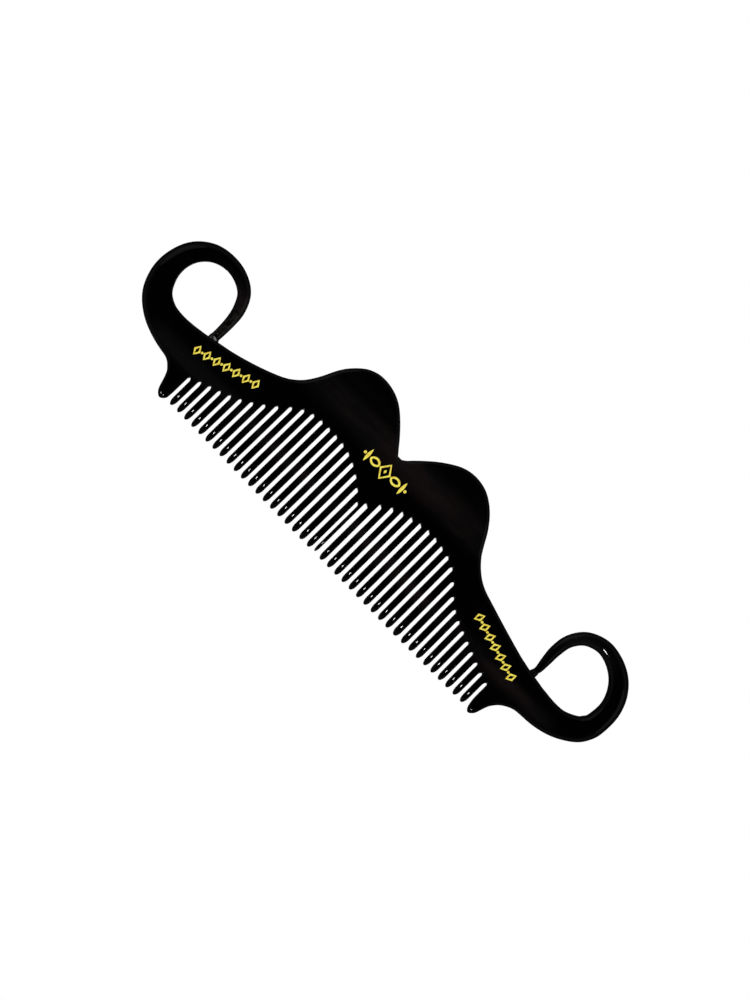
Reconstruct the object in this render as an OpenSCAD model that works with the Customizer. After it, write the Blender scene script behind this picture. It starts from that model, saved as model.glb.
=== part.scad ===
// Handlebar-moustache beard comb, sawn from one sheet of cellulose acetate.
// +X runs along the comb, +Y towards its back and +Z out of its front face.
// The origin is the middle of the outline, on the rear face that the comb lies on.

/* [Sheet] */
// Thickness of the acetate sheet
sheet_t = 4; // [3.6:0.1:4.6]
// Radius of the rounded edges of the back and the curls
edge_r = 1; // [0.6:0.1:1.4]

/* [Teeth] */
// Distance from one saw cut to the next, left of the middle tooth
left_pitch = 2.23; // [2.15:0.01:2.25]
// Distance from one saw cut to the next, right of the middle tooth
right_pitch = 2.27; // [2.2:0.01:2.3]
// Width of a saw cut
slot_w = 0.85; // [0.6:0.05:1]
// Width of the narrow middle tooth
middle_tooth_w = 0.8; // [0.6:0.05:1]
// Length over which a tooth thins to its tip, seen from the side
point_len = 6; // [4:0.5:6]
// Length of the rounded tip of a tooth, seen from the front
tip_len = 1.5; // [1:0.1:2]

/* [Foil] */
// Thickness of the stamped foil
foil_t = 0.05; // [0.04:0.01:0.1]
// Length of the ornament in the middle
middle_mark_w = 13; // [11:0.5:14]
// Length of the ornament beside each curl
side_mark_w = 17; // [14:0.5:18]

/* [Hidden] */
side_teeth = 20;
tooth_count = 2 * side_teeth + 1;
slot_count = tooth_count + 1;
middle_x = -1.6;
// The cuts beside the middle tooth, narrower on its left and wider on its right
left_cut_w = slot_w - 0.18;
right_cut_w = slot_w + 0.18;
mid_z = sheet_t / 2;

// Hand sawing: how far the cuts stray from an even pitch, and how they fan out
stray_y = -15;
cut_stray = [
    [-47, -0.05], [-40, -0.15], [-30, -0.3], [-23, -0.33], [-19, -0.23], [-12, -0.17], [-7, -0.05],
    [-4.5, 0.06], [-2.3, 0], [-0.6, 0.03], [2, 0.13], [8, 0.02], [18, 0.03], [22, 0.07],
    [24, 0.27], [29, 0.29], [33, 0.19], [45, 0.08]
];
fan_per_mm = 0.0004;
most_fan = 0.012;

// Where a cut stops: its point, and the straight part above a tooth
slot_point = 0.6;
slot_end = 1;
point_w = 0.24;
// How far that point leans to the left along the comb, as a share of the cut's width
point_lean = [[-47, 0.1], [-25, 0.12], [-12, 0.25], [0, 0.32], [17, 0.3], [21, 0.05], [30, 0], [45, -0.2]];
// Length over which the end of a guard is rounded, seen from the side
guard_point = 1.2;

// The line that the tips lie on
tip_line = [
    [-47, -17.88], [-35, -17.98], [-20, -18.2], [-8, -18.33], [10, -18.42], [23, -18.57], [45, -18.4]
];
middle_tip_lift = 0.4;
point_steps = 6;
blunt = 10;

corner_steps = 3;
break_r = 0.05;
over = 1;

// The back of the comb, from the left curl over both lobes to the right curl
back_left = [
    [-54.2, -2.2], [-51.2, -1.75], [-47.8, -1.05], [-44.6, -0.4], [-40.3, 0.8], [-36, 2.3],
    [-32, 4.15], [-29.2, 6.65], [-27.2, 9.9], [-25.2, 13.9], [-22.3, 17.1], [-19.8, 18.5],
    [-17.2, 18.92], [-14.2, 18.5], [-11.5, 17.35], [-9, 15.41], [-6.2, 12.56], [-3.45, 9.25]
];
back_right = [
    [-2.05, 9.25], [1, 12.33], [4.4, 15.2], [8.2, 17.45], [11.8, 18.1], [15.6, 17.3],
    [19.2, 14.75], [22, 11.25], [24.3, 7.3], [27, 4.4], [30, 2.5], [34.3, 1.1], [40, -0.6],
    [45.8, -2.2], [49.1, -2.9], [51.9, -3.35], [54, -3.7]
];
// How far each saw cut reaches, left and right of the middle tooth
roots_left = [
    [-47, -10.7], [-43.5, -9.2], [-39, -7.6], [-34.5, -5.4], [-30, -2.3], [-26, 1.1],
    [-22.5, 2.75], [-18, 3.1], [-12.5, 2.65], [-8, 0.8], [-5, -1.4], [-2.3, -3.9]
];
roots_right = [
    [-0.65, -2.7], [2, -0.45], [6, 1.55], [13, 2.8], [18, 2.25], [22, 0.8], [26.8, -3.7],
    [30, -5.8], [36, -8.2], [40.5, -10], [45, -11.6]
];
// The underside between each curl and its guard
left_underside = [[-54.2, -11.3], [-53.1, -11.8], [-52.2, -12.6], [-51.6, -13.3]];
right_underside = [[49.6, -13.5], [50.4, -12.75], [51.5, -12.05], [52.8, -11.5], [54, -11.3]];
// The guards' free sides, from the underside down to the tip and up the nearest saw cut
left_guard_side = [[-51.6, -13.3], [-51, -14.7], [-50.5, -16.3], [-49.9, -17.6], [-48.75, -18.45],
    [-47.65, -17.55], [-47.45, -16.2]];
right_guard_side = [[49.6, -13.5], [48.7, -14.8], [48.1, -16.4], [47.5, -18], [46.4, -18.89],
    [45.6, -18], [45.3, -16.3]];

// Each curl: the middle of the horn, and its width there
left_curl_line = [
    [-54.2, -6.75, 9.1], [-58, -6.4, 8.1], [-61.85, -5.28, 7.15], [-65.2, -2.75, 6.45],
    [-67, 1.25, 5.8], [-67.07, 5.35, 5.1], [-65.6, 9.05, 4.6], [-62.55, 11.75, 4],
    [-58.65, 12.75, 3.4], [-54.85, 12.2, 3.15], [-51.7, 10.25, 2.95], [-50, 6.95, 2.8],
    [-49.5, 3.7, 2.45], [-49.45, 0.7, 2.25], [-49.5, -0.7, 2.2]
];
right_curl_line = [
    [54, -7.5, 7.6], [58, -7.5, 6.95], [61.8, -6.8, 6.2], [65.25, -4.95, 5.75], [66.75, -3.2, 5.5],
    [67.55, -1.1, 5.15], [67.65, 3.05, 4.85], [66.35, 6.7, 4.65], [63.85, 9.6, 4.3],
    [60.4, 11.4, 3.8], [56.8, 11.85, 3.4], [53.15, 10.4, 3.05], [50.95, 7.4, 2.8],
    [50.35, 4, 2.65], [50.45, 1, 2.25], [50.6, -1.2, 1.75], [50.5, -2.1, 1.5]
];
rings_per_span = 3;

// The bead of cement under each curl's tip: where it ends on the back, left and right
left_bond_foot = [[-50.7, -1.66], [-48.15, -1.13]];
right_bond_foot = [[49.4, -2.95], [51.3, -3.24]];
bond_foot_t = 2.3;
bond_foot_r = 0.9;
waist_share = 0.45;
waist_gain = 0.3;

left_mark_at = [-43.05, -3.6];
left_mark_turn = 15;
middle_mark_at = [-3, 4.9];
foil_line = 0.45;
right_mark_at = [40.6, -4.8];
right_mark_turn = -17;

function tooth_name(i) = str("tooth_", i < 10 ? "0" : "", i);

// Catmull-Rom curve through the points p, with n steps between neighbours
function span(a, b, c, d, t) =
    (2 * b + (c - a) * t + (2 * a - 5 * b + 4 * c - d) * t * t + (3 * b - a - 3 * c + d) * t * t * t) / 2;
function curve(p, n) = let (m = len(p) - 1) concat(
    [for (i = [0 : m - 1], k = [0 : n - 1])
        span(i > 0 ? p[i - 1] : 2 * p[0] - p[1], p[i], p[i + 1],
             i < m - 1 ? p[i + 2] : 2 * p[m] - p[m - 1], k / n)],
    [p[m]]
);

// The saw cuts, counted from the left: the middle of cut i at height y, and its closed end
function even_x(i) = i <= side_teeth
    ? middle_x - (middle_tooth_w + left_cut_w) / 2 - (side_teeth - i) * left_pitch
    : middle_x + (middle_tooth_w + right_cut_w) / 2 + (i - side_teeth - 1) * right_pitch;
function cut_w(i) = i == side_teeth ? left_cut_w : i == side_teeth + 1 ? right_cut_w : slot_w;
// A point on the wall of cut i at height y; side is -1 for its left wall and 1 for its right
function wall(i, y, side) = [cut_x(i, y) + side * cut_w(i) / 2, y];
function fan(i) = max(-most_fan, min(most_fan, even_x(i) * fan_per_mm));
function cut_x(i, y) = even_x(i) + lookup(even_x(i), cut_stray) + (stray_y - y) * fan(i);
root_line = concat(curve(roots_left, 4), curve(roots_right, 4));
function root_y(i) = lookup(even_x(i), root_line);
// The middle of cut i where its straight part starts
function foot(i) = let (y = root_y(i) - slot_end) [cut_x(i, y), y];

back_line = concat(curve(back_left, 4), curve(back_right, 4));
foot_line = concat(left_underside, [for (i = [0 : slot_count - 1]) foot(i)], right_underside);
// The wall of cut i where it crosses the foot line
function foot_wall(i, side) = let (x = wall(i, foot(i).y, side).x) [x, lookup(x, foot_line)];

// A rounded bar's outline across its length: side is the distance from its middle, up the height
function corner(side, up, r, start, steps) =
    [for (k = [0 : steps]) let (a = start + 90 * k / steps) [side + r * cos(a), up + r * sin(a)]];
function bar(w, t, r_far, r_near, near_steps) = concat(
    corner(w / 2 - r_far, t / 2 - r_far, r_far, 0, corner_steps),
    corner(-w / 2 + r_near, t / 2 - r_near, r_near, 90, near_steps),
    corner(-w / 2 + r_near, -t / 2 + r_near, r_near, 180, near_steps),
    corner(w / 2 - r_far, -t / 2 + r_far, r_far, 270, corner_steps)
);
// That outline, standing across a line in the plane of the sheet
function ring(at, across, outline) =
    [for (p = outline) [at.x + across.x * p.x, at.y + across.y * p.x, mid_z + p.y]];

// A closed skin over rings that have the same number of points
module skin(rings) {
    n = len(rings[0]);
    last = len(rings) - 1;
    polyhedron(
        points = [for (r = rings, p = r) p],
        faces = concat(
            [[for (k = [0 : n - 1]) k]],
            [for (i = [0 : last - 1], k = [0 : n - 1])
                let (a = i * n + k, b = i * n + (k + 1) % n) [a, a + n, b + n, b]],
            [[for (k = [n - 1 : -1 : 0]) last * n + k]]
        )
    );
}

// A plan outline, cut from a slab whose last stretch thins in an ellipse to a blunt tip
module pointed_slab(plan, tip, top, stretch) {
    point = [for (k = [0 : point_steps]) let (a = blunt + (90 - blunt) * k / point_steps)
        [tip + stretch * (cos(blunt) - cos(a)), mid_z * sin(a)]];
    side = concat(
        point,
        [[top, mid_z], [top, -mid_z]],
        [for (k = [point_steps : -1 : 0]) [point[k].x, -point[k].y]]
    );
    xs = [for (p = plan) p.x];
    intersection() {
        linear_extrude(sheet_t) polygon(plan);
        translate([min(xs) - over, 0, mid_z]) rotate([90, 0, 90])
            linear_extrude(max(xs) - min(xs) + 2 * over) polygon(side);
    }
}

module slot_cut(i) {
    root = root_y(i);
    low = min(root - slot_end, right_underside[0].y) - over;
    straight = root - slot_point;
    point_x = cut_x(i, root) - lookup(even_x(i), point_lean) * cut_w(i);
    translate([0, 0, -over]) linear_extrude(sheet_t + 2 * over) polygon([
        wall(i, low, -1), wall(i, low, 1), wall(i, straight, 1), [point_x + point_w / 2, root],
        [point_x - point_w / 2, root], wall(i, straight, -1)
    ]);
}

module spine() {
    middles = [for (i = [0 : slot_count - 2]) (foot(i).x + foot(i + 1).x) / 2];
    inner = [for (i = [0 : slot_count - 2], x = [foot(i).x, middles[i]]) x];
    stations = concat([for (p = left_underside) p.x], [-51.2, -47.8], inner,
        [foot(slot_count - 1).x, 46.5, 49.1], [for (p = right_underside) p.x]);
    color("#141011") difference() {
        skin([for (x = stations) let (
            top = lookup(x, back_line),
            low = lookup(x, foot_line),
            open_left = left_underside[3].x - x,
            open_right = x - right_underside[0].x,
            r = max(break_r, edge_r * max(open_left, open_right) / 4)
        ) ring([x, (top + low) / 2], [0, 1], bar(top - low, sheet_t, edge_r, r, 1))]);
        for (i = [0 : slot_count - 1]) slot_cut(i);
    }
}

// A horn that thins from the sheet's thickness to a round tip
module curl(line) {
    p = curve(line, rings_per_span);
    last = len(p) - 1;
    widest = line[0].z;
    color("#141011") skin([for (i = [0 : last]) let (
        way = p[min(i + 1, last)] - p[max(i - 1, 0)],
        across = i == 0 ? [0, -sign(way.x)] : i == last ? [sign(way.y), 0]
            : [way.y, -way.x] / norm([way.x, way.y]),
        w = p[i].z,
        t = min(sheet_t, w),
        roundness = min(1, (widest - w) / (widest - sheet_t)),
        r = min(t / 2 - 0.01, edge_r + (sheet_t / 2 - edge_r) * roundness)
    ) ring(p[i], across, bar(w, t, r, r, corner_steps))]);
}

// The thick end tooth beside cut i; side is 1 where the guard lies left of it
module end_guard(free_side, i, side) {
    sides = curve(free_side, 3);
    tip = min([for (p = sides) p.y]);
    top = foot_wall(i, -side);
    plan = concat([top], sides, [wall(i, free_side[6].y + 0.5, -side)]);
    color("#141011") pointed_slab(plan, tip, top.y, guard_point);
}

module tooth(i) {
    tip = lookup(even_x(i), tip_line) + (i == side_teeth + 1 ? middle_tip_lift : 0);
    left = wall(i - 1, tip + tip_len, 1);
    right = wall(i, tip + tip_len, -1);
    middle = (left + right) / 2;
    top_left = foot_wall(i - 1, 1);
    top_right = foot_wall(i, -1);
    plan = concat(
        [top_right, top_left],
        [for (a = [180 : 20 : 360]) middle + [(right.x - left.x) / 2 * cos(a), tip_len * sin(a)]]
    );
    color("#141011") pointed_slab(plan, tip, max(top_left.y, top_right.y), point_len);
}

// A bead of acetate cement, from the curl's tip down to the edge of the back
module tip_bond(line, ends) {
    tip = line[len(line) - 1];
    t = tip.z;
    r = t / 2 - 0.01;
    reach = ends[1] - ends[0];
    foot_w = norm(reach);
    middle = (ends[0] + ends[1]) / 2;
    waist = [tip.x, tip.y] * (1 - waist_share) + middle * waist_share;
    color("#1c1819") skin([
        ring(tip, [1, 0], bar(t, t, r, r, corner_steps)),
        ring(waist, [1, 0], bar(t + waist_gain, t + 0.05, r, r, corner_steps)),
        ring(middle, reach / foot_w, bar(foot_w, bond_foot_t, bond_foot_r, bond_foot_r, corner_steps))
    ]);
}

module on_front(at, turn) {
    translate([at.x, at.y, sheet_t]) rotate([0, 0, turn]) linear_extrude(foil_t) children();
}

module lozenge(w, h) {
    polygon([[-w / 2, 0], [0, -h / 2], [w / 2, 0], [0, h / 2]]);
}

// A pointed leaf lying along X, between two circular arcs
module leaf(w, h) {
    r = (w * w + h * h) / (4 * h);
    intersection() {
        translate([0, h / 2 - r]) circle(r, $fn = 96);
        translate([0, r - h / 2]) circle(r, $fn = 96);
    }
}

// Only the rim of a shape that is w long and h high
module rim(w, h) {
    difference() {
        children();
        scale([1 - 2.2 * foil_line / w, 1 - 2.2 * foil_line / h]) children();
    }
}

// Open, leaning lozenges with a dot between each two
module side_mark(at, turn) {
    count = 7;
    step = side_mark_w / count;
    w = step * 0.72;
    h = 2.6;
    color("#e8c53a") on_front(at, turn) for (k = [0 : count - 1])
        translate([(k - (count - 1) / 2) * step, 0]) {
            rotate([0, 0, -14]) rim(w, h) lozenge(w, h);
            if (k < count - 1) translate([step / 2, 0]) circle(step * 0.12, $fn = 24);
        }
}

// A lozenge with a heart, between two pairs of leaves
module middle_mark() {
    color("#e8c53a") on_front(middle_mark_at, 0) {
        rim(3.2, 4.3) lozenge(3.2, 4.3);
        lozenge(0.6, 1);
        for (s = [-1, 1]) {
            translate([s * middle_mark_w * 0.235, 0]) rim(2.8, 2) leaf(2.8, 2);
            translate([s * middle_mark_w * 0.395, 0]) rotate([0, 0, 90]) leaf(3.4, 0.75);
            translate([s * middle_mark_w * 0.465, 0]) circle(0.35, $fn = 24);
        }
    }
}

spine();
curl(left_curl_line);  // left_curl
curl(right_curl_line);  // right_curl
end_guard(left_guard_side, 0, 1);  // left_end_guard
end_guard(right_guard_side, slot_count - 1, -1);  // right_end_guard
for (i = [1 : tooth_count]) tooth(i);
tip_bond(left_curl_line, left_bond_foot);  // left_tip_bond
tip_bond(right_curl_line, right_bond_foot);  // right_tip_bond
side_mark(left_mark_at, left_mark_turn);  // left_foil_mark
middle_mark();  // middle_foil_mark
side_mark(right_mark_at, right_mark_turn);  // right_foil_mark
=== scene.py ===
"""Looks of the handlebar-moustache beard comb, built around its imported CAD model.

Every acetate piece is made again as a smooth mesh, from the outline in which the middle level of
the sheet cuts its CAD node. Lengths are in millimetres until a mesh is made.
"""
import math

import bmesh
import bpy
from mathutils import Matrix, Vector


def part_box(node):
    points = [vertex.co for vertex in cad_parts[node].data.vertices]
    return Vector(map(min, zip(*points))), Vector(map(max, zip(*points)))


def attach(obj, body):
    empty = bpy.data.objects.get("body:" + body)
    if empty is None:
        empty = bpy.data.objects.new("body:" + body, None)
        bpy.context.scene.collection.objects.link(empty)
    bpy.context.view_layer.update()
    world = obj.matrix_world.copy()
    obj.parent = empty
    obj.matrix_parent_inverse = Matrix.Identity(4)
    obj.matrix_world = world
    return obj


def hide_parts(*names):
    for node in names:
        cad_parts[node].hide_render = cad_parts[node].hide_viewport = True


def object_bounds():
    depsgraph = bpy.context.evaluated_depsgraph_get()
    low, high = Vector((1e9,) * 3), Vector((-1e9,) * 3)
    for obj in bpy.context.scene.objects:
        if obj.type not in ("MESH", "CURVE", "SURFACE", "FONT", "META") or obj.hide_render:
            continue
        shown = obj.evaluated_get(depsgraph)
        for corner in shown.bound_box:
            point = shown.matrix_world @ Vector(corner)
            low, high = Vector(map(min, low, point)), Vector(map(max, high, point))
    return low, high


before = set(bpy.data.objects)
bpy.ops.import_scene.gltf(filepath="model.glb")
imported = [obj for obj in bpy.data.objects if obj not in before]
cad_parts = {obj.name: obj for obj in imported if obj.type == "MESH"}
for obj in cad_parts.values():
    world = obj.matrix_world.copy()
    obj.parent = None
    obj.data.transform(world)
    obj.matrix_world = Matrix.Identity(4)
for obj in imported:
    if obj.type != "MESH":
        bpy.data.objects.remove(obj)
cad_low, cad_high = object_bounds()

MM = 0.001
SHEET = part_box("spine")[1].z / MM
MIDDLE = SHEET / 2
TEETH = sorted(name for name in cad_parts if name.startswith("tooth_"))
GUARDS = ["left_end_guard", "right_end_guard"]
CURLS = ["left_curl", "right_curl"]
BONDS = ["left_tip_bond", "right_tip_bond"]
MARKS = ["left_foil_mark", "middle_foil_mark", "right_foil_mark"]
LEFT_BOND_AT = sum((Vector(corner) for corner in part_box("left_tip_bond")), Vector()) / 2

# Roundings of the edges: the polished outer ones, those of the guards, and those the saw left
EDGE_R = 1.1
GUARD_R = 0.9
SAWN_R = 0.13
ARC = 6

# Bonds: half their height at the plate, and how far they reach into its edge
BOND_HALF = 1.15
BITE = 0.2

# Left horn: how sharp its inner edge is, and how far in the rounding of its outer edge reaches
LEFT_INNER_R = 0.12
LEFT_OUTER_R = 2.6

# Guards: how far up the rounding of their ends reaches
GUARD_END = 1.3

# Teeth: how far the ground point reaches up, and the crown that buffing gives it
POINT = 5.9
CROWN = 0.4

# Closed ends of the saw cuts: how the round blade and the file left them
END_LENGTH = 0.6
RAMP = Vector((0.02, -0.22))


# ---------------------------------------------------------------- outlines and curves

def turn(a, p, b):
    """How sharply a line turns at p, in radians."""
    return abs((p - a).angle(b - p, 0))


def cad_outline(node, other=None):
    """The loop in which the sheet's middle level cuts a CAD node, with the solid on its left.

    With another outline given, the loop starts and ends at the two points that they share, which
    are moved onto the other outline's.
    """
    bm = bmesh.new()
    bm.from_mesh(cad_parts[node].data)
    bmesh.ops.remove_doubles(bm, verts=bm.verts, dist=1e-6)
    bmesh.ops.bisect_plane(
        bm, geom=[*bm.verts, *bm.edges, *bm.faces], dist=1e-8,
        plane_co=(0, 0, MIDDLE * MM), plane_no=(0, 0, 1), clear_inner=True, clear_outer=True,
    )
    bm.verts.ensure_lookup_table()
    first = here = bm.verts[0]
    came, loop = None, []
    while not loop or here != first:
        loop.append(here.co.xy / MM)
        came = next(e for e in here.link_edges if e != came)
        here = came.other_vert(here)
    bm.free()
    if sum(a.cross(b) for a, b in zip(loop, loop[1:] + loop[:1])) < 0:
        loop.reverse()
    loop = [p for a, p in zip(loop[-1:] + loop, loop) if (a - p).length > 0.006]
    around = zip(loop[-1:] + loop, loop, loop[1:] + loop[:1])
    loop = [p for a, p, b in around if turn(a, p, b) > 0.001]
    if other:
        i, j = shared(loop, other)
        start = j if j == i + 1 else i
        loop = loop[start:] + loop[:start]
        for end in (0, -1):
            loop[end] = min(other, key=lambda q: (q - loop[end]).length)
    return loop


def shared(loop, other):
    """The places in loop of the two points that it has in common with another outline."""
    gaps = [min((p - q).length for q in other) for p in loop]
    return sorted(sorted(range(len(loop)), key=gaps.__getitem__)[:2])


def beyond(name, point):
    """The point of a piece's outline next to one that it shares with the spine, or the reverse."""
    loop = outlines[name]
    if name != "spine":
        near_start = (loop[0] - point).length < (loop[-1] - point).length
        return loop[1] if near_start else loop[-2]
    i = min(range(len(loop)), key=lambda k: (loop[k] - point).length)
    both = loop[i - 1], loop[(i + 1) % len(loop)]
    return next(p for p in both if not any((p - q).length < 0.01 for q in ends))


def curve(points, steps):
    """A smooth curve through the points, with that many steps between neighbours.

    Where a long and a short stretch meet, the long one sets the direction, so it stays straight.
    """
    chords = [b - a for a, b in zip(points, points[1:])]
    ways = [c.normalized() for c in chords]
    joined = [(a + b).normalized() for a, b in zip(chords, chords[1:])]
    tangents = [ways[0], *joined, ways[-1]]
    made = []
    for a, b, c, ta, tb in zip(points, points[1:], chords, tangents, tangents[1:]):
        for k in range(steps):
            t = k / steps
            bend = ta * (t - 2 * t * t + t ** 3) + tb * (t ** 3 - t * t)
            made.append(a + c * (3 * t * t - 2 * t ** 3) + bend * c.length)
    return [*made, points[-1]]


def smoothed(points, steps, sharp=0.45):
    """curve, in stretches that end where the line turns by more than sharp."""
    made, start = [], 0
    for i in range(1, len(points)):
        if i == len(points) - 1 or turn(*points[i - 1:i + 2]) > sharp:
            made += curve(points[start:i + 1], steps)[:-1]
            start = i
    return [*made, points[-1]]


def mix(a, b, t):
    return a + (b - a) * t


def ease(t):
    t = max(0.0, min(1.0, t))
    return t * t * (3 - 2 * t)


# ---------------------------------------------------------------- meshes

def make_piece(name, points, faces, normals, looks):
    """A piece from points in millimetres, in place of the CAD node of the same name.

    Its points are kept inside the CAD model's box.
    looks holds "flat" for a flat face, and otherwise the number of the face's material.
    """
    inside = [[min(max(c, a), b) for c, a, b in zip(p * MM, cad_low, cad_high)] for p in points]
    mesh = bpy.data.meshes.new(name)
    mesh.from_pydata(inside, [], faces)
    mesh.polygons.foreach_set("use_smooth", [True] * len(faces))
    mesh.polygons.foreach_set("material_index", [0 if look == "flat" else look for look in looks])
    mesh.update()
    shading = []
    for polygon, look in zip(mesh.polygons, looks):
        shading += [polygon.normal if look == "flat" else normals[v] for v in polygon.vertices]
    mesh.normals_split_custom_set(shading)
    piece = bpy.data.objects.new(name, mesh)
    bpy.context.scene.collection.objects.link(piece)
    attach(piece, "root")
    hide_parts(name)
    return piece


def corner(r_side, r_up, top):
    """A rounded edge: at each point, how far in from the side and the face, and the normal's parts."""
    made = []
    for k in range(ARC + 1):
        t = math.pi / 2 * (k if top else ARC - k) / ARC
        out = Vector((math.cos(t) * r_up, math.sin(t) * r_side)).normalized()
        made.append((r_side - r_side * math.cos(t), r_up - r_up * math.sin(t), out.x, out.y))
    return made


def section(a, b, half, round_a, round_b):
    """The ring of a bar between points a and b of the plan, and the direction outward at each point."""
    side = (a - b).normalized()
    ring, outward = [], []
    for edge, way, rounding in ((a, side, round_a), (b, -side, round_b)):
        ups = (False, True) if edge is a else (True, False)
        for top in ups:
            sign = 1 if top else -1
            arc = corner(*rounding, top)
            for inset, drop, n_side, n_up in arc if edge is a else arc[::-1]:
                at = edge - way * inset
                ring.append(Vector((at.x, at.y, MIDDLE + sign * (half - drop))))
                outward.append(Vector((way.x * n_side, way.y * n_side, sign * n_up)))
    return ring, outward


def loft(name, rails, halves, roundings, looks=None, tip=0.0):
    """A piece swept between two rails of the plan, with a half thickness and two roundings at each step.

    tip closes the far end in a point that far on; otherwise both ends are flat.
    """
    rings = [section(a, b, half, *rounding)
             for a, b, half, rounding in zip(*rails, halves, roundings)]
    count, last = len(rings[0][0]), len(rings) - 1
    points, normals = [], []
    for i, (ring, outward) in enumerate(rings):
        ahead, behind = rings[min(i + 1, last)][0], rings[max(i - 1, 0)][0]
        for k in range(count):
            along = (ahead[k] - behind[k]).normalized()
            normals.append((outward[k] - along * outward[k].dot(along)).normalized())
        points += ring
    faces, kinds = [list(range(count))[::-1]], ["flat"]
    for i in range(last):
        for k in range(count):
            a, b = i * count + k, i * count + (k + 1) % count
            faces.append([a, b, b + count, a + count])
            kinds.append(looks(i, k) if looks else 0)
    end = [last * count + k for k in range(count)]
    if tip:
        middle = sum(rings[-1][0], Vector()) / count
        way = (middle - sum(rings[-2][0], Vector()) / count).normalized()
        points.append(middle + way * tip)
        normals.append(way)
        faces += [[end[k], end[(k + 1) % count], len(points) - 1] for k in range(count)]
        kinds += [0] * count
    else:
        faces.append(end)
        kinds.append("flat")
    if (points[1] - points[0]).cross(points[count] - points[0]).dot(normals[0]) < 0:
        faces = [face[::-1] for face in faces]
    return make_piece(name, points, faces, normals, kinds)


# ---------------------------------------------------------------- the plate

def build_spine():
    """The plate: walls round its outline, flat caps where the other pieces carry on, and two faces."""
    loop = outlines["spine"]
    count = len(loop)
    joints = {}
    for name in CURLS + GUARDS + TEETH:
        i, j = shared(loop, outlines[name])
        joints[i if j == i + 1 else j] = name
    starts = sorted(joints)
    order = starts[-1:] + starts
    rings, shading, caps, sawn_rings = [], [], [], []
    for before, joint in zip(order, starts):
        first = (before + 1) % count
        wall = loop[first:joint + 1]
        caps.append(len(rings))
        sawn = joints[before] not in CURLS and joints[joint] not in CURLS
        for at, inward, out, r, low_shift in wall_points(
                wall, loop[before], loop[(joint + 1) % count], sawn, joints[before], joints[joint]):
            ring, outs = [], []
            for top in (False, True):
                for inset, drop, n_side, n_up in corner(r, r, top):
                    z = SHEET - drop if top else drop
                    p = at + inward * inset + low_shift * (1 - z / SHEET)
                    ring.append(Vector((p.x, p.y, z)))
                    outs.append(Vector((out.x * n_side, out.y * n_side, n_up if top else -n_up)))
            rings.append(ring)
            sawn_rings.append(sawn)
            shading.append([(n + Vector((0, 0, low_shift.dot(n.xy) / SHEET))).normalized()
                            for n in outs])
    size = len(rings[0])
    points = [p for ring in rings for p in ring]
    normals = [n for outs in shading for n in outs]
    faces, looks = [], []
    total = len(rings)
    for i in range(total):
        j = (i + 1) % total
        cap = j in caps
        for k in range(size - 1):
            faces.append([i * size + k, j * size + k, j * size + k + 1, i * size + k + 1])
            looks.append("flat" if cap else 1 if sawn_rings[i] else 0)
    faces.append([i * size + size - 1 for i in range(total)])
    faces.append([i * size for i in reversed(range(total))])
    looks += ["flat", "flat"]
    return make_piece("spine", points, faces, normals, looks)


def wall_points(wall, before, after, sawn, came_from, goes_to):
    """Each point of a wall, with the ways in and out there, its rounding, and how its two ends lean."""
    if sawn:
        start, end = wall[0], wall[-1]
        inner = [p for p in curve(wall[1:-1], 3) if min((p - start).length, (p - end).length) > 0.3]
        line = [start, *inner, end]
        longer = [start, *line, end]
    else:
        longer = smoothed([beyond(came_from, wall[0]), *wall, beyond(goes_to, wall[-1])], 3)[2:-2]
        line = longer[1:-1]
    root = max(p.y for p in wall)
    made = []
    for i, p in enumerate(line):
        a, b = longer[i], longer[i + 2]
        way = (b - a).normalized()
        out = Vector((way.y, -way.x))
        if i == 0:
            inward = (before - p).normalized()
        elif i == len(line) - 1:
            inward = (after - p).normalized()
        else:
            half_turn = min(turn(a, p, b) / 2, 1.0)
            inward = -out / math.cos(half_turn)
        share = i / (len(line) - 1)
        if sawn:
            r = SAWN_R
        elif goes_to in GUARDS:
            r = mix(EDGE_R, GUARD_R, ease(share))
        elif came_from in GUARDS:
            r = mix(GUARD_R, EDGE_R, ease(share))
        else:
            r = EDGE_R
        lean = ease((p.y - root + END_LENGTH) / END_LENGTH) if sawn else 0
        made.append((p, inward, out, r, RAMP * lean))
    return made


# ---------------------------------------------------------------- teeth, guards, curls

def crossings(line, y):
    """Where a line that goes down, round and up again passes the height y, on each side."""
    found = []
    for a, b in zip(line, line[1:]):
        if (a.y - y) * (b.y - y) <= 0 and a.y != b.y:
            found.append(a + (b - a) * ((y - a.y) / (b.y - a.y)))
    return found[0], found[-1]


def build_tooth(name):
    """A tooth: flat sawn sides, and a ground and buffed point."""
    outline = outlines[name]
    line = smoothed(outline, 6, 0.6)
    tip = min(p.y for p in line)
    reach = min(outline[0].y, outline[-1].y) - tip
    straight = max(0, round((reach - POINT) / 1.5))
    heights = [mix(reach, POINT, k / straight) for k in range(1, straight + 1)]
    angles = [*range(85, 8, -5), 6, 4.5, 3]
    heights += [h for h in (POINT * (1 - math.cos(math.radians(a))) for a in angles) if h < reach - 0.1]
    left, right = sides(outline, line, tip, heights)
    halves, roundings, ground = [MIDDLE], [[(SAWN_R, SAWN_R)] * 2], [0]
    for h, a, b in zip(heights, left[1:], right[1:]):
        half = MIDDLE * math.sqrt(1 - max(0.0, 1 - h / POINT) ** 2)
        width = (a - b).length / 2
        buffed, blunt = ease((POINT + 0.6 - h) / 3.2), ease((1.7 - h) / 1.5)
        crown = mix(mix(SAWN_R, CROWN, buffed), half, blunt)
        halves.append(half)
        ground.append(buffed)
        roundings.append([(mix(min(SAWN_R, width), width, buffed), min(crown, half))] * 2)

    def looks(i, k):
        return 1 if k in (ARC, 3 * ARC + 2) and ground[i] < 0.4 else 0
    return loft(name, (left, right), halves, roundings, looks, tip=0.02)


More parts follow.
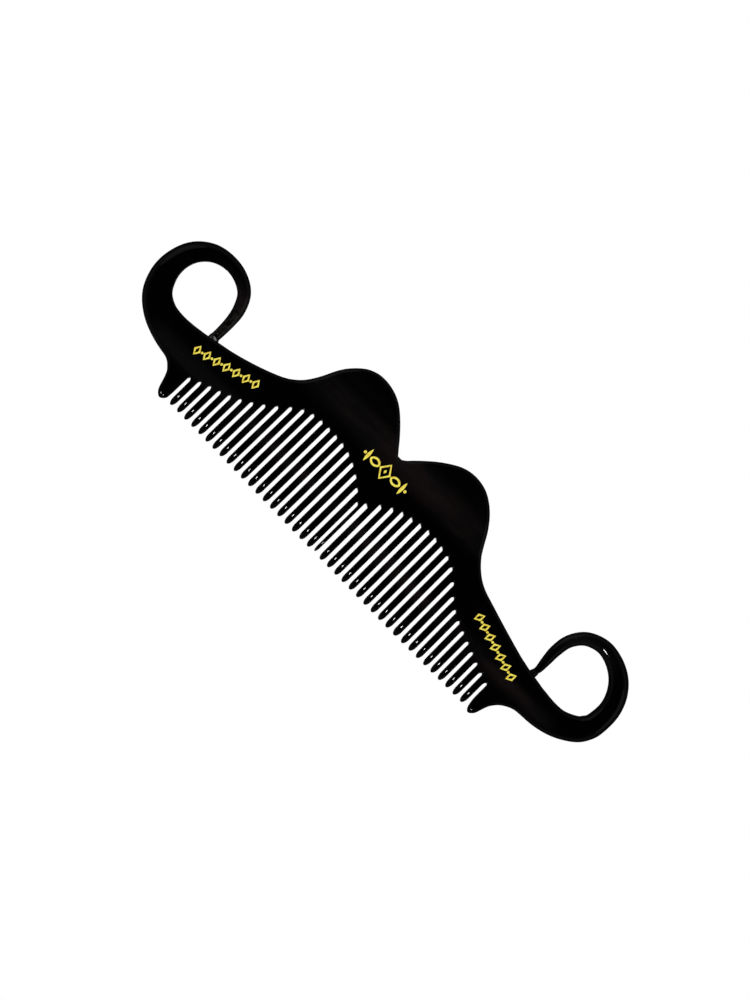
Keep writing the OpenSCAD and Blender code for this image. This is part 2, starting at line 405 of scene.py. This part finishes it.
def build_guard(name, left_r, right_r):
    """An end tooth: as thick as the sheet, with its outer side and its end rounded like the back."""
    outline = outlines[name]
    line = smoothed([beyond("spine", outline[0]), *outline, beyond("spine", outline[-1])], 6, 0.6)[6:-6]
    tip = min(p.y for p in line)
    reach = min(outline[0].y, outline[-1].y) - tip
    heights = [mix(reach, GUARD_END, k / 14) for k in range(1, 15)]
    heights += [GUARD_END * (1 - math.cos(math.radians(a))) for a in [*range(84, 5, -6), 4]]
    left, right = sides(outline, line, tip, heights)
    halves, roundings = [MIDDLE], [[(left_r, left_r), (right_r, right_r)]]
    for h, a, b in zip(heights, left[1:], right[1:]):
        drop = GUARD_END - math.sqrt(max(0.0, GUARD_END ** 2 - max(0.0, GUARD_END - h) ** 2))
        width = (a - b).length / 2
        share = ease((3.4 - h) / 2.6)
        halves.append(MIDDLE - drop)
        roundings.append([(min(mix(r, EDGE_R, share), width),
                           mix(r, 0.6, share) * (1.01 - drop / GUARD_END)) for r in (left_r, right_r)])
    return loft(name, (left, right), halves, roundings, tip=0.01)


def sides(outline, line, tip, heights):
    """The two sides of a tooth, from its corners at the plate down through heights over its tip."""
    pairs = [crossings(line, tip + h) for h in heights]
    return [outline[0], *(a for a, b in pairs)], [outline[-1], *(b for a, b in pairs)]


def build_curl(name, inner_r=None, outer_r=None):
    """A horn: boxy where it leaves the plate, and round and thin at its tip.

    inner_r keeps its inner edge that sharp, up to a little short of the tip. outer_r is how far in
    the rounding of its outer edge reaches.
    """
    loop = outlines[name]
    steps = len(loop) // 2
    rails = [curve([beyond("spine", side[0]), *side], 3)[3:]
             for side in (loop[:steps], loop[:steps - 1:-1])]
    widths = [(a - b).length for a, b in zip(*rails)]
    lengths = [sum((b - a).length for a, b in zip(rail, rail[1:])) for rail in rails]
    halves, roundings = [], []
    for i, w in enumerate(widths):
        half = min(SHEET, w) / 2
        share = ease((widths[0] - w) / (widths[0] - SHEET))
        r = inner = mix(EDGE_R, half, share)
        along = i / (len(widths) - 1)
        if inner_r:
            inner = mix(r, inner_r, ease(along / 0.3) * ease((0.95 - along) / 0.2))
        halves.append(half)
        outer = min(mix(r, outer_r, ease(along / 0.2)), w / 2) if outer_r else r
        pair = [(outer, r), (inner, inner)]
        roundings.append(pair if lengths[0] > lengths[1] else pair[::-1])
    return loft(name, rails, halves, roundings)


def build_bond(name, curl):
    """A bead of acetate cement that has run down from the curl's tip and set, lumpy."""
    loop = cad_outline(name, outlines[curl])
    steps = len(loop) // 2
    rails = [[*rail, rail[-1] + (rail[-1] - rail[-2]).normalized() * BITE]
             for rail in (curve(loop[:steps], 6), curve(loop[steps:][::-1], 6))]
    widths = [(a - b).length / 2 for a, b in zip(*rails)]
    last = len(widths) - 1
    halves = [mix(min(w, MIDDLE), BOND_HALF, ease(i / last)) for i, w in enumerate(widths)]
    roundings = [[(w, h), (w, h)] for w, h in zip(widths, halves)]
    return loft(name, rails, halves, roundings)


# ---------------------------------------------------------------- materials

# Where the painted sheen bands lie, paler stripes that stand in for reflected light, from the tips to
# the back
SHEEN_BANDS = [(-0.0125, 0.1), (-0.0085, 1), (-0.0055, 0.25), (0.003, 0.12), (0.009, 1), (0.014, 0.35)]
# How the painted sheen bands fade out towards the horns
SHEEN_BAND_ENDS = [(-0.066, 0), (-0.056, 1), (0.056, 1), (0.068, 0)]
# The left horn's tail is dusty, and has pale specks, painted glints, down to the bond but not on the
# plate
TAIL_AT = LEFT_BOND_AT + Vector((-0.0003, 0.005, 0))
GLINT_SPECK_SPAN = [(LEFT_BOND_AT.y, 0), (LEFT_BOND_AT.y + 0.0008, 1)]


def material(name, base, roughness, **sockets):
    """A node material, with its shader ready and its values set."""
    made = bpy.data.materials.new(name)
    made.use_nodes = True
    shader = made.node_tree.nodes["Principled BSDF"]
    shader.inputs["Base Color"].default_value = (*base, 1)
    shader.inputs["Roughness"].default_value = roughness
    for socket, value in sockets.items():
        shader.inputs[socket.replace("_", " ")].default_value = value
    return made, made.node_tree, shader


def noise_node(tree, scale, detail, stretch=(1, 1, 1)):
    """A noise texture in object space, so many features to a metre."""
    place = tree.nodes.new("ShaderNodeTexCoord")
    mapping = tree.nodes.new("ShaderNodeMapping")
    mapping.inputs["Scale"].default_value = stretch
    texture = tree.nodes.new("ShaderNodeTexNoise")
    texture.inputs["Scale"].default_value = scale
    texture.inputs["Detail"].default_value = detail
    tree.links.new(place.outputs["Object"], mapping.inputs["Vector"])
    tree.links.new(mapping.outputs["Vector"], texture.inputs["Vector"])
    return texture.outputs["Fac"]


def ramp(tree, factor, low, high, at=(0.3, 0.7)):
    """Two colours mixed by a factor."""
    node = tree.nodes.new("ShaderNodeValToRGB")
    node.color_ramp.elements[0].position = at[0]
    node.color_ramp.elements[0].color = (*low, 1)
    node.color_ramp.elements[1].position = at[1]
    node.color_ramp.elements[1].color = (*high, 1)
    tree.links.new(factor, node.inputs["Fac"])
    return node.outputs["Color"]


def level(tree, factor, low, high):
    """A factor between 0 and 1, spread over another range."""
    node = tree.nodes.new("ShaderNodeMapRange")
    node.inputs["To Min"].default_value = low
    node.inputs["To Max"].default_value = high
    tree.links.new(factor, node.inputs["Value"])
    return node.outputs["Result"]


def bumps(tree, shader, layers):
    """Bumps from several heights, each with its depth in metres."""
    normal = None
    for height, depth in layers:
        node = tree.nodes.new("ShaderNodeBump")
        node.inputs["Strength"].default_value = 1
        node.inputs["Distance"].default_value = depth
        tree.links.new(height, node.inputs["Height"])
        if normal:
            tree.links.new(normal, node.inputs["Normal"])
        normal = node.outputs["Normal"]
    tree.links.new(normal, shader.inputs["Normal"])


def product(tree, *factors):
    """Factors multiplied together."""
    made = factors[0]
    for factor in factors[1:]:
        node = tree.nodes.new("ShaderNodeMath")
        node.operation = "MULTIPLY"
        tree.links.new(made, node.inputs[0])
        tree.links.new(factor, node.inputs[1])
        made = node.outputs["Value"]
    return made


def stretched(tree, factor, low, high):
    """A factor that is 0 up to low and 1 from high on."""
    node = tree.nodes.new("ShaderNodeMapRange")
    node.inputs["From Min"].default_value = low
    node.inputs["From Max"].default_value = high
    tree.links.new(factor, node.inputs["Value"])
    return node.outputs["Result"]


def blend(tree, factor, first, second):
    """Two colours, each a value or a socket, mixed by a factor."""
    node = tree.nodes.new("ShaderNodeMix")
    node.data_type = "RGBA"
    tree.links.new(factor, node.inputs["Factor"])
    for name, colour in (("A", first), ("B", second)):
        socket = next(i for i in node.inputs if i.name == name and i.type == "RGBA")
        if isinstance(colour, tuple):
            socket.default_value = colour
        else:
            tree.links.new(colour, socket)
    return next(o for o in node.outputs if o.type == "RGBA")


def along(tree, axis, stops):
    """A factor that changes along an axis, between stops of a place in metres and a value."""
    first, last = stops[0][0], stops[-1][0]
    place = tree.nodes.new("ShaderNodeTexCoord")
    split = tree.nodes.new("ShaderNodeSeparateXYZ")
    node = tree.nodes.new("ShaderNodeValToRGB")
    node.color_ramp.interpolation = "EASE"
    elements = node.color_ramp.elements
    while len(elements) < len(stops):
        elements.new(0.5)
    for element, (at, value) in zip(elements, stops):
        element.position = (at - first) / (last - first)
        element.color = (value, value, value, 1)
    tree.links.new(place.outputs["Object"], split.inputs["Vector"])
    tree.links.new(stretched(tree, split.outputs[axis], first, last), node.inputs["Fac"])
    return node.outputs["Color"]


def near(tree, at, radius):
    """A factor that falls from 1 at a place to 0 at a radius from it."""
    place = tree.nodes.new("ShaderNodeTexCoord")
    distance = tree.nodes.new("ShaderNodeVectorMath")
    distance.operation = "DISTANCE"
    distance.inputs[1].default_value = at
    fall = tree.nodes.new("ShaderNodeMapRange")
    fall.interpolation_type = "SMOOTHSTEP"
    fall.inputs["From Max"].default_value = radius
    fall.inputs["To Min"].default_value = 1
    fall.inputs["To Max"].default_value = 0
    tree.links.new(place.outputs["Object"], distance.inputs[0])
    tree.links.new(distance.outputs["Value"], fall.inputs["Value"])
    return fall.outputs["Result"]


def polished_acetate():
    """Black cellulose acetate, polished by hand: a little wavy, finely scratched, with faint painted
    sheen bands.
    """
    made, tree, shader = material("polished acetate", (0.0006, 0.0005, 0.0005), 0.07, IOR=1.48)
    # Painted sheen: paler brownish bands along the sheet, standing in for reflected light
    sheen_noise = noise_node(tree, 330, 4, (0.13, 1, 1))
    shown = product(tree, sheen_noise, along(tree, "Y", SHEEN_BANDS), along(tree, "X", SHEEN_BAND_ENDS))
    sheen_tone_noise = noise_node(tree, 150, 2, (0.4, 1, 1))
    sheen_colour = ramp(tree, sheen_tone_noise, (0.0027, 0.0026, 0.0027), (0.0052, 0.0034, 0.0036), (0.5, 0.64))
    with_sheen = blend(tree, stretched(tree, shown, 0.13, 0.5), (0.0002, 0.0002, 0.0002, 1), sheen_colour)
    dusty = product(tree, near(tree, TAIL_AT, 0.006),
                    stretched(tree, noise_node(tree, 900, 4), 0.35, 0.65))
    dusted = blend(tree, dusty, with_sheen, (0.014, 0.011, 0.0107, 1))
    # Painted glints: pale specks on the tail just above the left bond
    glint_specks = product(tree, near(tree, LEFT_BOND_AT, 0.0035), along(tree, "Y", GLINT_SPECK_SPAN),
                     stretched(tree, noise_node(tree, 2400, 3), 0.6, 0.64))
    colour = blend(tree, glint_specks, dusted, (0.09, 0.085, 0.08, 1))
    tree.links.new(colour, shader.inputs["Base Color"])
    haze = noise_node(tree, 260, 4)
    tree.links.new(level(tree, haze, 0.04, 0.08), shader.inputs["Roughness"])
    scratches = noise_node(tree, 2600, 2, (0.06, 1, 1))
    waves = noise_node(tree, 110, 1)
    bumps(tree, shader, [(waves, 0.000004), (scratches, 0.00000005)])
    return made


def sawn_acetate():
    """The same acetate on the walls that the saw cut: duller, with fine lines across the teeth."""
    made, tree, shader = material("sawn acetate", (0.005, 0.0045, 0.0045), 0.35, IOR=1.48)
    grain = noise_node(tree, 900, 4)
    tree.links.new(ramp(tree, grain, (0.001, 0.0009, 0.0009), (0.004, 0.0035, 0.0034)),
                   shader.inputs["Base Color"])
    tree.links.new(level(tree, grain, 0.28, 0.45), shader.inputs["Roughness"])
    lines = noise_node(tree, 5000, 2, (0.1, 1, 0.06))
    bumps(tree, shader, [(lines, 0.000008)])
    return made


def set_cement():
    """Acetate cement, set over black dust; where the left bond was sanded, it's grey, with pale specks
    painted in as glints.
    """
    made, tree, shader = material("set cement", (0.001, 0.001, 0.001), 0.3, IOR=1.48)
    glint_specks = noise_node(tree, 2400, 5)
    grey = product(tree, near(tree, LEFT_BOND_AT, 0.004),
                   stretched(tree, noise_node(tree, 1100, 4), 0.4, 0.62))
    # Painted glints: pale specks in the left bond's base colour
    painted_glints = product(tree, near(tree, LEFT_BOND_AT, 0.004), stretched(tree, glint_specks, 0.6, 0.66))
    sanded = blend(tree, grey, (0.0008, 0.0007, 0.0007, 1), (0.02, 0.017, 0.017, 1))
    tree.links.new(blend(tree, painted_glints, sanded, (0.25, 0.25, 0.24, 1)), shader.inputs["Base Color"])
    tree.links.new(level(tree, glint_specks, 0.1, 0.5), shader.inputs["Roughness"])
    lumps = noise_node(tree, 900, 4)
    bumps(tree, shader, [(lumps, 0.0001), (glint_specks, 0.00002)])
    return made


def gold_foil():
    """Hot-stamped brass foil: bright yellow, a little uneven where it took on the sheet."""
    made, tree, shader = material("brass foil", (0.95, 0.8, 0.14), 0.5, Metallic=0.35)
    wear = noise_node(tree, 1500, 4)
    tree.links.new(ramp(tree, wear, (0.86, 0.6, 0.05), (1, 0.88, 0.13), (0.35, 0.55)),
                   shader.inputs["Base Color"])
    tree.links.new(level(tree, wear, 0.6, 0.4), shader.inputs["Roughness"])
    bumps(tree, shader, [(wear, 0.00001)])
    return made


# ---------------------------------------------------------------- the object

spine_outline = cad_outline("spine")
outlines = {name: cad_outline(name, spine_outline) for name in CURLS + GUARDS + TEETH}
ends = [p for loop in outlines.values() for p in (loop[0], loop[-1])]
outlines["spine"] = spine_outline

acetate = [build_spine()]
acetate += [build_tooth(name) for name in TEETH]
acetate += [build_guard("left_end_guard", GUARD_R, SAWN_R)]
acetate += [build_guard("right_end_guard", SAWN_R, GUARD_R)]
acetate += [build_curl("left_curl", LEFT_INNER_R, LEFT_OUTER_R), build_curl("right_curl")]
bonds = [build_bond(bond, curl) for bond, curl in zip(BONDS, CURLS)]

polished, sawn, cement, foil = polished_acetate(), sawn_acetate(), set_cement(), gold_foil()
for piece in acetate:
    piece.data.materials.append(polished)
    piece.data.materials.append(sawn)
for piece in bonds:
    piece.data.materials.append(cement)
for name in MARKS:
    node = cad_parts[name]
    node.data.materials.clear()
    node.data.materials.append(foil)


# ---------------------------------------------------------------- floor, light and camera

def plane(name, size, z):
    mesh = bpy.data.meshes.new(name)
    s = size / 2
    mesh.from_pydata([(-s, -s, z), (s, -s, z), (s, s, z), (-s, s, z)], [], [(0, 1, 2, 3)])
    made = bpy.data.objects.new(name, mesh)
    bpy.context.scene.collection.objects.link(made)
    return made


def white_table():
    """A light table's white to the camera, which throws less light up at the comb's edges."""
    made = bpy.data.materials.new("white table")
    made.use_nodes = True
    tree = made.node_tree
    tree.nodes.clear()
    glow = tree.nodes.new("ShaderNodeEmission")
    rays = tree.nodes.new("ShaderNodeLightPath")
    output = tree.nodes.new("ShaderNodeOutputMaterial")
    tree.links.new(level(tree, rays.outputs["Is Camera Ray"], 0.03, 1), glow.inputs["Strength"])
    tree.links.new(glow.outputs["Emission"], output.inputs["Surface"])
    return made


floor = plane("floor", 4, -0.00002)
floor.data.materials.append(white_table())


def studio():
    """A dark room, a little lighter towards the horizon than overhead."""
    world = bpy.data.worlds.new("studio")
    world.use_nodes = True
    tree = world.node_tree
    place = tree.nodes.new("ShaderNodeTexCoord")
    split = tree.nodes.new("ShaderNodeSeparateXYZ")
    shade = ramp(tree, split.outputs["Z"], (0.09, 0.09, 0.09), (0.006, 0.006, 0.006), (0.3, 0.8))
    tree.links.new(place.outputs["Generated"], split.inputs["Vector"])
    tree.links.new(shade, tree.nodes["Background"].inputs["Color"])
    return world


bpy.context.scene.world = studio()


def area_light(name, at, size, watts):
    data = bpy.data.lights.new(name, "AREA")
    data.shape = "DISK"
    data.size = size
    data.energy = watts
    lamp = bpy.data.objects.new(name, data)
    lamp.location = at
    lamp.rotation_euler = (-Vector(at)).to_track_quat("-Z", "Y").to_euler()
    bpy.context.scene.collection.objects.link(lamp)
    return lamp


area_light("key", (-0.03, -0.48, 0.88), 0.115, 2)
area_light("soft left", (-1.2, 0.5, 1.0), 1.2, 0.45)
area_light("soft right", (1.3, 0.3, 0.9), 1.2, 0.45)
# A broad fill from overhead, for the foil: the polished faces don't mirror it
area_light("fill", (0, 0, 1.4), 0.9, 19).visible_glossy = False

# The camera looks straight down from far off, and the comb lies turned in the picture
lens_mm = 200
seen_mm = 215.5
sensor_mm = 36
aim_mm = (-0.21, -0.93)
turned = math.radians(45.36)
camera_data = bpy.data.cameras.new("camera")
camera_data.lens = lens_mm
camera_data.sensor_width = sensor_mm
camera = bpy.data.objects.new("camera", camera_data)
camera.location = Vector((*aim_mm, SHEET + lens_mm * seen_mm / sensor_mm)) * MM
camera.rotation_euler = (0, 0, turned)
bpy.context.scene.collection.objects.link(camera)
bpy.context.scene.camera = camera
bpy.context.scene.view_settings.view_transform = "Standard"
